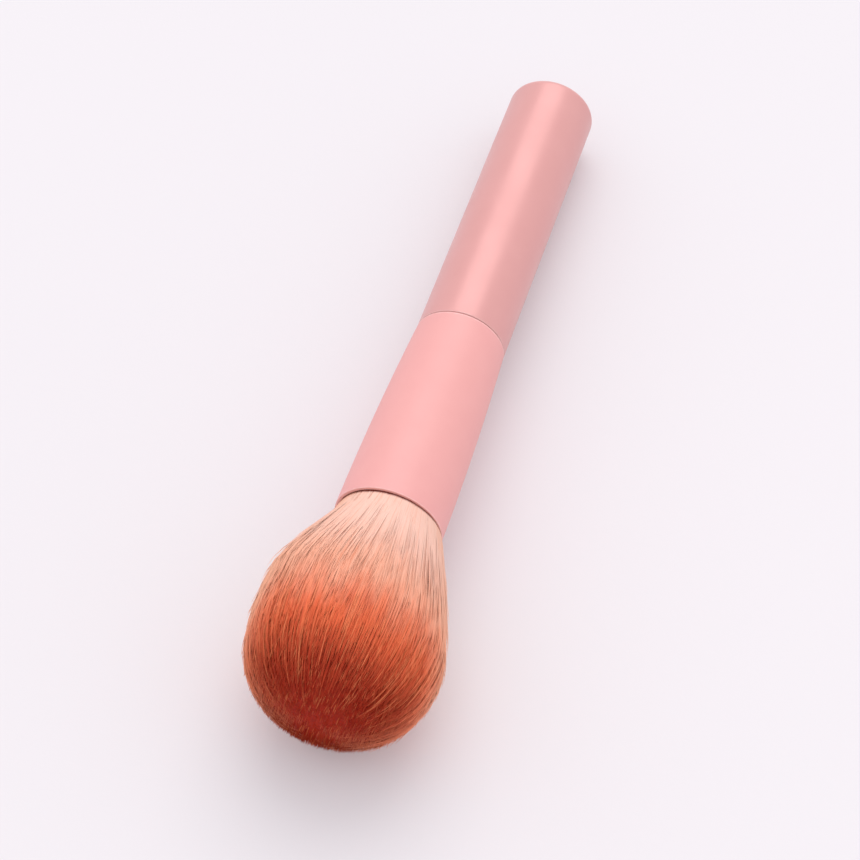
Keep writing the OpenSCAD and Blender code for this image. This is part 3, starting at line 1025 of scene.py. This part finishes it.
# The detail tuft: the same filament in coral, set in the ferrule's mouth, hardly
# fanned, and trimmed to a small round tip for the eyelid.
detail_wide_at = 8.0
detail_dye_and_light = strand_finish(
    "detail_filament", 21.0, 1.2,
    paint(255, 196, 176), paint(252, 160, 132), paint(238, 122, 92), paint(196, 72, 50),
)
tuft = grown(
    "detail_strands", tuft_fan, strand_shape(5, 8), Strands=3200, Columns=57, Seed=5,
    Root_radius=5.12, Swell=0.1, Swell_length=1.0, Lean=0.12, Fan_limit=8.0, Close_in=0.15,
    Wide_radius=6.0, Wide_at=detail_wide_at, Dome_length=12.9, Dome_square=2.2,
    First_end=7.0, Last_end=20.9, Root_depth=1.8, Drawn=100.0, Layer=0.1,
    Strand_radius=0.06, Uneven=0.3, Stray=0.5, Clump_size=0.8, Clump_pull=0.35,
    Material=detail_dye_and_light,
)
tuft.data.transform(lay @ Matrix.Translation((0, 0, detail_mouth)))
tuft.data.shade_smooth()
rounded(tuft, 5, seam + axis * (detail_mouth + detail_wide_at) / 1000, axis)
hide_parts("detail_bristles")
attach(tuft, "handle")


# The cap's bush: a plain ring of natural polypropylene, pressed into the cap's
# open end. It grips the neck, and chamfers lead it on.
bush_radius = 9.18
bush_bore = 7.75
bush_bottom = 0.65
bush_top = bush_bottom + 12.5
bush_lead = 0.5
bush_bevel = 0.15
material, tree, shader = surface(
    "natural_polypropylene", Subsurface_Weight=0.08, Subsurface_Scale=0.002
)
place = along_brush(tree)
band = placed(tree, spun, "Band", Place=place, Pitch=0.2)
smudge = placed(tree, skin, "Smudge", Place=place, Peel=0.4, Patch=5.0)
tone = mixed(tree, band, paint(236, 228, 222), paint(243, 236, 231))
feed(tree, shader.inputs["Base Color"], mixed(tree, smudge * 0.4, tone, paint(226, 208, 202)))
feed(tree, shader.inputs["Roughness"], 0.4 + smudge * 0.12)
dent(tree, shader, placed(tree, spun, "Height", Place=place, Pitch=0.2), 0.006)
outline = [(bush_bore + bush_lead, bush_bottom), (bush_radius - bush_bevel, bush_bottom)]
outline += [(bush_radius, bush_bottom + bush_bevel), (bush_radius, bush_top - bush_bevel)]
outline += [(bush_radius - bush_bevel, bush_top), (bush_bore + bush_lead, bush_top)]
outline += [(bush_bore, bush_top - bush_lead), (bush_bore, bush_bottom + bush_lead)]
bush = turned("cap_bush", outline, material, 96)
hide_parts("cap_liner")
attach(bush, "cap")


# The cap: a deep drawn aluminium tube with a softly rounded closed end, under a
# thin satin lacquer in dusty pink. It pulls straight off the neck.
cap_wall = 0.8
cap_end_wall = 1.2
cap_round = 2
cap_fillet = 1.2
seam_gap = 0.15
cap_bevel = 0.25
material, tree, shader = surface(
    "satin_dusty_pink", Metallic=0.25, Coat_Roughness=0.2, Specular_IOR_Level=0.5
)
place = along_brush(tree)
grain = dict(Place=place, Peel=0.7, Patch=17.0)
smudge = placed(tree, skin, "Smudge", **grain)
mottle = placed(tree, skin, "Mottle", **grain)
worn = placed(tree, wear, "Wear", Place=place, Edge=0.2, Reach=0.35)
worn = worn.math("MAXIMUM", placed(tree, wear, "Wear", Place=place, Edge=cap_length - 0.7, Reach=0.7))
tone = mixed(tree, mottle, paint(216, 153, 150), paint(221, 159, 156))
tone = mixed(tree, smudge * 0.2, tone, paint(221, 163, 161))
tone = mixed(tree, worn * 0.5, tone, paint(236, 200, 196))
feed(tree, shader.inputs["Base Color"], tone)
feed(tree, shader.inputs["Roughness"], 0.36 + smudge * 0.08)
feed(tree, shader.inputs["Coat Weight"], 0.30 - smudge * 0.15)
dent(tree, shader, placed(tree, skin, "Height", **grain), 0.004)
cap_bore = handle_radius - cap_wall
inner_end = cap_length - cap_end_wall
outline = [(cap_bore, seam_gap), (handle_radius - cap_bevel - 0.1, seam_gap)]
outline += arc((handle_radius - cap_bevel, seam_gap + cap_bevel), cap_bevel, -90, 0, 5)
side_start = seam_gap + cap_bevel + 0.3
side_run = cap_length - 3 - cap_bevel
outline += [(handle_radius, side_start + side_run * i / 12) for i in range(13)]
outline += arc((handle_radius - cap_round, cap_length - cap_round), cap_round, 0, 90, 14)
outline += [(handle_radius - cap_round - 0.3, cap_length), (4, cap_length), (0, cap_length)]
outline += [(0, inner_end)]
outline += arc((cap_bore - cap_fillet, inner_end - cap_fillet), cap_fillet, 90, 0, 8)
cap = turned("lacquered_cap", outline, material, 160)
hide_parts("cap_shell")
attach(cap, "cap")
